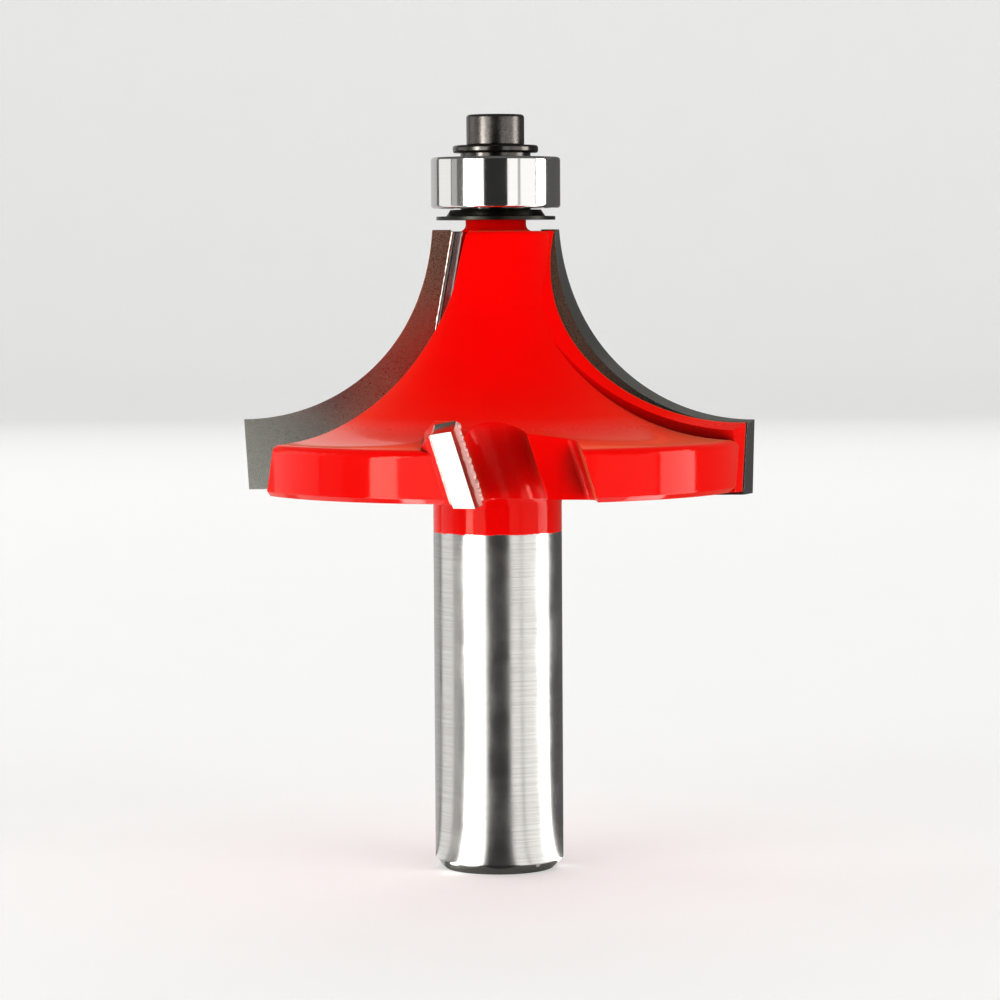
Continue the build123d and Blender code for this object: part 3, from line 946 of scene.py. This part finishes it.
@dataclass
class BrazeSeams:
    """Beads of solder along the seams of all four plates, uneven as they set."""

    large: Seat = Seat(0, 1.2 * MM, 14.0, 63.05 * MM)
    small: Seat = Seat(-97.1, 0.0, -17.4, 40.85 * MM)
    large_top: float = 62.85 * MM
    small_top: float = 45.0 * MM
    bottom: float = 37.75 * MM
    inner_top: float = 4.35 * MM
    inner_slope: float = 10.0
    small_inner: float = 20.0 * MM
    small_back: float = 2.08 * MM
    small_land: Span = (25.4 * MM, 63.45 * MM)
    small_round: float = 19.55 * MM
    small_front: float = 24.9 * MM
    large_gap: float = 0.13 * MM
    large_sink: float = 0.09 * MM
    small_gap: float = 0.1 * MM
    small_sink: float = 0.1 * MM
    large_steps: int = 40
    small_steps: int = 16
    grain: float = 0.07 * MM

    def tree(self) -> Graph:
        """Builds the tree: a line becomes a bead that wanders and swells.

        Returns:
            The tree.
        """
        graph = Graph("solder bead")
        radius, wander = graph.input("Radius"), graph.input("Wander")
        size, step = graph.input("Lump Size"), graph.input("Step")
        curve = graph.add("GeometryNodeMeshToCurve", Mesh=graph.given.outputs["Shape"])
        fine = graph.add("GeometryNodeResampleCurve", "LENGTH", Curve=curve.outputs[0], Length=step)
        noise = graph.add("ShaderNodeTexNoise", Scale=graph.math("DIVIDE", 1.0, size), Detail=3.0)
        lumps = noise.outputs["Fac"]
        centred = graph.vector("SUBTRACT", noise.outputs["Color"], (0.5, 0.5, 0.5))
        shift = graph.add("ShaderNodeVectorMath", "SCALE", Scale=graph.math("MULTIPLY", wander, 2.0))
        graph.link(centred, shift.inputs[0])
        moved = graph.add("GeometryNodeSetPosition", Geometry=fine.outputs[0], Offset=shift.outputs[0])
        swell = graph.math("MULTIPLY_ADD", lumps, 1.4, 0.3)
        ring = graph.add("GeometryNodeCurvePrimitiveCircle", Radius=1.0, Resolution=10)
        scale = graph.math("MULTIPLY", swell, radius)
        bead = graph.add(
            "GeometryNodeCurveToMesh", Curve=moved.outputs[0], Profile_Curve=ring.outputs[0], Scale=scale,
            Fill_Caps=True,
        )
        graph.close(bead.outputs[0])
        return graph

    def large_line(self) -> list[Vector]:
        """Line of a large plate's seam, beside its inner edge.

        Returns:
            The points of the line.
        """
        slope = tan(radians(self.inner_slope)) / cos(radians(self.large.shear))
        beside = []
        for level in evenly(self.large_top, self.bottom, self.large_steps):
            out = self.inner_top + (self.large.level - level) * slope - self.large_gap
            beside.append(self.large.point(level, self.large_sink, out=out))
        return beside

    def small_line(self) -> list[Vector]:
        """Line of a small plate's seam beside its inner edge.

        Returns:
            The points of the line.
        """
        out = self.small_inner - self.small_gap
        levels = evenly(self.small_top, self.bottom, self.small_steps)
        return [self.small.point(level, self.small_sink, out=out) for level in levels]

    def back_line(self) -> list[Vector]:
        """Line of a small plate's seam over and down its back.

        Returns:
            The points of the line.
        """
        over = []
        centre, top = self.small_land
        for radius in evenly(self.small_inner, self.small_front, self.small_steps):
            level = top - sqrt(self.small_round**2 - (centre - radius) ** 2)
            over.append(self.small.point(level, self.small_back, radius=radius))
        over.append(self.small.point(self.bottom, self.small_back, radius=self.small_front))
        return over

    def build(self) -> None:
        """Makes the beads of both pairs of plates."""
        graph = self.tree()
        beads = (
            Bead("large", self.large_line(), Finish.BRAZE, 0.13 * MM, 0.02 * MM, 0.8 * MM),
            Bead("small", self.small_line(), Finish.BRAZE_AND_REFLECTION, 0.30 * MM, 0.13 * MM, 0.4 * MM),
            Bead("small_back", self.back_line(), Finish.BRAZE_AND_REFLECTION, 0.13 * MM, 0.05 * MM, 0.35 * MM),
        )
        for bead in beads:
            for number, wing in enumerate((0, pi), start=1):
                turn = Matrix.Rotation(wing, 3, "Z")
                guide = guide_lines(f"{bead.name}_guide_{number}", [[turn @ p for p in bead.line]])
                piece = graph.piece(
                    f"{bead.name}_solder_bead_{number}", guide, Radius=bead.radius, Wander=bead.wander,
                    Lump_Size=bead.lump, Step=self.grain, Material=material_of(bead.finish),
                )
                seated(piece, Rides.BIT)


@dataclass
class CapScrew:
    """The socket head cap screw, with its chamfered hexagon socket and its thread."""

    head_radius: float = 2.84 * MM
    head_fillet: float = 0.3 * MM
    socket_flats: float = 2.5 * MM
    socket_depth: float = 1.5 * MM
    crest_radius: float = 1.495 * MM
    root_radius: float = 1.24 * MM
    pitch: float = 0.5 * MM
    plain_length: float = 0.9 * MM
    tip_chamfer: float = 0.4 * MM
    runout: float = 0.15 * MM
    foot_chamfer: float = 0.12 * MM
    socket_rim: float = 0.06 * MM
    socket_chamfer: float = 0.13 * MM
    drill_share: float = 0.96
    drill_tip: float = 0.05 * MM
    drill_depth: float = 0.35 * MM
    fillet_steps: int = 6

    def thread_tree(self) -> Graph:
        """Builds the tree: a ridge that climbs round the shank.

        Returns:
            The tree.
        """
        graph = Graph("screw thread")
        pitch, turns = graph.input("Pitch"), graph.input("Turns")
        radius, depth, foot = graph.input("Root Radius"), graph.input("Depth"), graph.input("Foot Level")
        spiral = graph.add(
            "GeometryNodeCurveSpiral", Resolution=40, Rotations=turns, Start_Radius=radius, End_Radius=radius,
            Height=graph.math("MULTIPLY", pitch, turns),
        )
        upright = graph.add("GeometryNodeSetCurveNormal", "Z_UP", Curve=spiral.outputs[0])
        ridge = graph.add(
            "GeometryNodeCurvePrimitiveQuadrilateral", "KITE", Width=graph.math("MULTIPLY", pitch, 0.9),
            Bottom_Height=depth, Top_Height=depth,
        )
        swept = graph.add(
            "GeometryNodeCurveToMesh", Curve=upright.outputs[0], Profile_Curve=ridge.outputs[0], Scale=1.0,
            Fill_Caps=True,
        )
        offset = graph.add("ShaderNodeCombineXYZ", Z=foot)
        raised = graph.add("GeometryNodeTransform", Geometry=swept.outputs[0], Translation=offset.outputs[0])
        graph.close(raised.outputs[0])
        return graph

    def build(self) -> None:
        """Makes the screw's solid and its thread."""
        low, high = (corner.z for corner in map(Vector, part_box("cap_screw")))
        seat = Vector(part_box("stop_washer")[1]).z
        rings = Rings()
        rings.circle(self.root_radius - self.tip_chamfer, low)
        rings.circle(self.root_radius, low + self.tip_chamfer)
        rings.circle(self.root_radius, seat - self.plain_length)
        rings.circle(self.crest_radius, seat - self.plain_length + self.runout)
        rings.circle(self.crest_radius, seat)
        rings.circle(self.head_radius - self.foot_chamfer, seat)
        rings.circle(self.head_radius, seat + self.foot_chamfer)
        for i in range(self.fillet_steps + 1):
            turn = pi / 2 * i / self.fillet_steps
            radius = self.head_radius - self.head_fillet * (1 - cos(turn))
            rings.circle(radius, high - self.head_fillet * (1 - sin(turn)))
        corner = self.socket_flats / 2 / cos(pi / 6)
        rings.circle(corner + self.socket_rim, high)
        rings.hexagon(self.socket_flats, high - self.socket_chamfer)
        rings.hexagon(self.socket_flats, high - self.socket_depth)
        rings.circle(self.socket_flats / 2 * self.drill_share, high - self.socket_depth)
        rings.circle(self.drill_tip, high - self.socket_depth - self.drill_depth)
        black = material_of(Finish.BLACK_SCREW)
        screw = rings.piece("socket_head_screw", black)
        seated(screw, Rides.BIT)
        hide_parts("cap_screw")
        foot = low + self.tip_chamfer
        turns = (seat - self.plain_length - foot) / self.pitch
        thread = self.thread_tree().piece(
            "screw_thread", guide_lines("thread_guide", []), Pitch=self.pitch, Turns=turns, Foot_Level=foot,
            Root_Radius=self.root_radius, Depth=self.crest_radius - self.root_radius, Material=black,
        )
        seated(thread, Rides.BIT)


@dataclass
class PressedShields:
    """The bearing's two shields, pressed from thin sheet with a step and a turned-in inner edge."""

    section: tuple[Span, ...] = (
        (5.505, 0.0), (5.505, 0.09), (5.47, 0.125), (5.13, 0.125), (5.04, 0.145), (4.98, 0.23), (4.90, 0.25),
        (3.96, 0.25), (3.87, 0.23), (3.826, 0.18), (3.826, 0.05), (3.90, 0.05), (3.93, 0.12), (4.0, 0.135),
        (4.82, 0.135), (4.90, 0.11), (4.97, 0.02), (5.06, 0.0),
    )

    def build(self) -> None:
        """Makes both shields."""
        for name, side in (("upper", 1), ("lower", -1)):
            low, high = (Vector(corner).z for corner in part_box(f"bearing_{name}_shield"))
            floor = low if side > 0 else high
            rings = Rings()
            for radius, rise in self.section:
                rings.circle(radius * MM, floor + side * rise * MM)
            shield = rings.piece(f"pressed_{name}_shield", material_of(Finish.SHIELD_STEEL), looped=True)
            seated(shield, Rides.OUTER_RING)
            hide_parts(f"bearing_{name}_shield")


# ---------------------------------------------------------------- studio


@dataclass
class Panel:
    """A flat light or flag that stands upright on a circle round the bit.

    Azimuth 0 is in front of the bit, and grows towards its right.
    """

    azimuth: float
    width: float
    low: float
    high: float
    distance: float = 0.34
    radiance: float = 0.0

    def place(self) -> Matrix:
        """Where the panel stands, with its -Z side towards the bit.

        Returns:
            The panel's matrix.
        """
        turn = radians(self.azimuth)
        middle = Vector((sin(turn), -cos(turn), 0)) * self.distance
        middle.z = (self.low + self.high) / 2
        return Matrix.Translation(middle) @ Matrix.Rotation(turn, 4, "Z") @ Matrix.Rotation(pi / 2, 4, "X")

    def spread(self) -> float:
        """The panel's width in metres."""
        return 2 * self.distance * tan(radians(self.width / 2))


@dataclass
class Studio:
    """Camera, lamps, reflectors, floor and backdrop.

    The lamps light the matt surfaces and are not seen in the polished ones, which see the
    reflectors: white, grey and dark upright boards.
    """

    lamps: tuple[Panel, ...] = (
        Panel(-45, 50, 0.0, 0.70, distance=1.0, radiance=1.95),
        Panel(50, 50, 0.0, 0.70, distance=1.0, radiance=1.95),
        Panel(180, 60, 0.3, 1.4, distance=1.0, radiance=1.2),
        Panel(-115, 40, 0.0, 0.85, distance=1.0, radiance=1.2),
    )
    reflectors: tuple[Panel, ...] = (
        Panel(-51, 13, 0.0, 0.17, radiance=15.0),
        Panel(-33, 23, 0.0, 0.17, radiance=3.0),
        Panel(88, 22, 0.0, 0.17, radiance=6.0),
        Panel(48, 54, 0.0, 0.17, distance=0.36, radiance=1.5),
        Panel(1, 40, 0.0, 0.24, distance=0.33, radiance=0.035),
        Panel(42, 5, 0.0, 0.17, distance=0.33, radiance=0.7),
        Panel(132, 62, 0.0, 0.20, distance=0.30, radiance=0.12),
        Panel(-103, 34, 0.0, 0.17, distance=0.32, radiance=1.25),
        Panel(-78, 12, 0.0, 0.17, distance=0.32, radiance=0.6),
        Panel(-156, 54, 0.0, 0.20, distance=0.30, radiance=0.65),
    )
    camera_place: Vector = field(default_factory=lambda: Vector((0.00025, -0.370, 0.061)))
    camera_pitch: float = 3.80
    camera_roll: float = -0.34
    lens: float = 135.2
    cove_radius: float = 1.3
    room: float = 0.45
    ceiling: float = 0.15
    # Each apron runs from its board to this share of the distance, and those of nearer boards lie higher.
    apron_share: float = 0.018
    apron_lift: float = 0.0001
    apron_reach: float = 0.4
    apron_rise: float = 0.002

    def camera(self) -> None:
        """Makes the camera."""
        data = bpy.data.cameras.new("camera")
        data.lens = self.lens
        data.sensor_width = 36.0
        data.clip_start = 0.01
        camera = placed("camera", data)
        tilt = Matrix.Rotation(radians(90 - self.camera_pitch), 4, "X")
        roll = Matrix.Rotation(radians(self.camera_roll), 4, "Z")
        camera.matrix_world = Matrix.Translation(self.camera_place) @ tilt @ roll
        bpy.context.scene.camera = camera

    def lamp(self, number: int, panel: Panel) -> None:
        """Makes one area lamp.

        Args:
            number: Its number.
            panel: Where it stands and how bright it looks.
        """
        data = bpy.data.lights.new(f"lamp_{number}", "AREA")
        data.shape = "RECTANGLE"
        data.size, data.size_y = panel.spread(), panel.high - panel.low
        data.energy = panel.radiance * pi * data.size * data.size_y
        lamp = placed(data.name, data)
        lamp.matrix_world = panel.place()
        lamp.visible_camera = lamp.visible_glossy = False

    def reflector(self, number: int, panel: Panel) -> None:
        """Makes one board and its apron on the floor, which only reflections see.

        Args:
            number: Its number.
            panel: Where it stands and how bright it looks.
        """
        mesh = bpy.data.meshes.new(f"reflector_{number}")
        half, tall = panel.spread() / 2, (panel.high - panel.low) / 2
        corners = [(-half, -tall, 0), (half, -tall, 0), (half, tall, 0), (-half, tall, 0)]
        corners = [panel.place() @ Vector(c) for c in corners]
        rise = Vector((0, 0, self.apron_lift + (self.apron_reach - panel.distance) * self.apron_rise))
        shares = (self.apron_share, 1.0)
        apron = [corner.xy.to_3d() * share + rise for share in shares for corner in corners[:2]]
        mesh.from_pydata(corners + apron, [], [(0, 1, 2, 3), (4, 5, 7, 6)])
        board = placed(mesh.name, mesh)
        look = Shading(mesh.name)
        look.set(Base_Color=(0.0, 0.0, 0.0), Roughness=1.0, Emission_Color=(1.0, 1.0, 1.0))
        look.set(Emission_Strength=panel.radiance, Specular_IOR_Level=0.0)
        mesh.materials.append(look.material)
        board.visible_camera = board.visible_diffuse = board.visible_shadow = False

    def cove(self) -> None:
        """Makes the floor, which curves up into a backdrop all round."""
        floor, curve, wall = self.cove_radius, 0.5, 1.2
        profile = [(0.0, 0.0), (0.4, 0.0), (floor, 0.0)]
        steps = 12
        for i in range(1, steps + 1):
            turn = pi / 2 * i / steps
            profile.append((floor + curve * sin(turn), curve * (1 - cos(turn))))
        profile.append((floor + curve, wall))
        shape = bmesh.new()
        for (r0, z0), (r1, z1) in zip(profile, profile[1:]):
            shape.edges.new((shape.verts.new((r0, 0, z0)), shape.verts.new((r1, 0, z1))))
        bmesh.ops.remove_doubles(shape, verts=shape.verts, dist=1e-6)
        bmesh.ops.spin(shape, geom=shape.verts[:] + shape.edges[:], cent=(0, 0, 0), axis=(0, 0, 1),
                       angle=2 * pi, steps=64, use_merge=True)
        bmesh.ops.remove_doubles(shape, verts=shape.verts, dist=1e-6)
        mesh = bpy.data.meshes.new("cove")
        shape.to_mesh(mesh)
        mesh.shade_smooth()
        cove = placed("cove", mesh)
        look = Shading("pale paper")
        mirrored = look.tree.nodes.new("ShaderNodeLightPath").outputs["Is Glossy Ray"]
        pale = look.blend(look.noise(0.02, 3.0), (0.80, 0.80, 0.79), (0.83, 0.83, 0.82))
        look.set(Base_Color=look.blend(mirrored, pale, (0.25, 0.25, 0.24)))
        look.set(Roughness=0.9, Specular_IOR_Level=0.0, Emission_Color=(1.0, 1.0, 1.0))
        look.set(Emission_Strength=look.mixed(mirrored, 0.2, 0.0))
        mesh.materials.append(look.material)

    def world(self) -> None:
        """Gives the room its plain pale light, and polished surfaces a darker ceiling."""
        world = bpy.data.worlds.new("room")
        world.use_nodes = True
        nodes, links = world.node_tree.nodes, world.node_tree.links
        background = next(n for n in nodes if n.type == "BACKGROUND")
        background.inputs["Color"].default_value = (1.0, 1.0, 1.0, 1.0)
        path, strength = nodes.new("ShaderNodeLightPath"), nodes.new("ShaderNodeMath")
        strength.operation = "MULTIPLY_ADD"
        links.new(path.outputs["Is Glossy Ray"], strength.inputs[0])
        strength.inputs[1].default_value = self.ceiling - self.room
        strength.inputs[2].default_value = self.room
        links.new(strength.outputs[0], background.inputs["Strength"])
        bpy.context.scene.world = world

    def build(self) -> None:
        """Makes everything in the studio."""
        self.camera()
        for number, panel in enumerate(self.lamps, start=1):
            self.lamp(number, panel)
        for number, panel in enumerate(self.reflectors, start=1):
            self.reflector(number, panel)
        self.cove()
        self.world()
        bpy.context.scene.view_settings.view_transform = "Standard"
        LOG.info("studio: %d lamps, %d reflectors", len(self.lamps), len(self.reflectors))


def main() -> None:
    """Builds the bit's looks and its studio."""
    logging.basicConfig(level=logging.INFO, format="%(name)s: %(message)s")
    Studio().build()
    PackedPieces().dress()
    BrazeSeams().build()
    CapScrew().build()
    PressedShields().build()


if __name__ == "__main__":
    main()
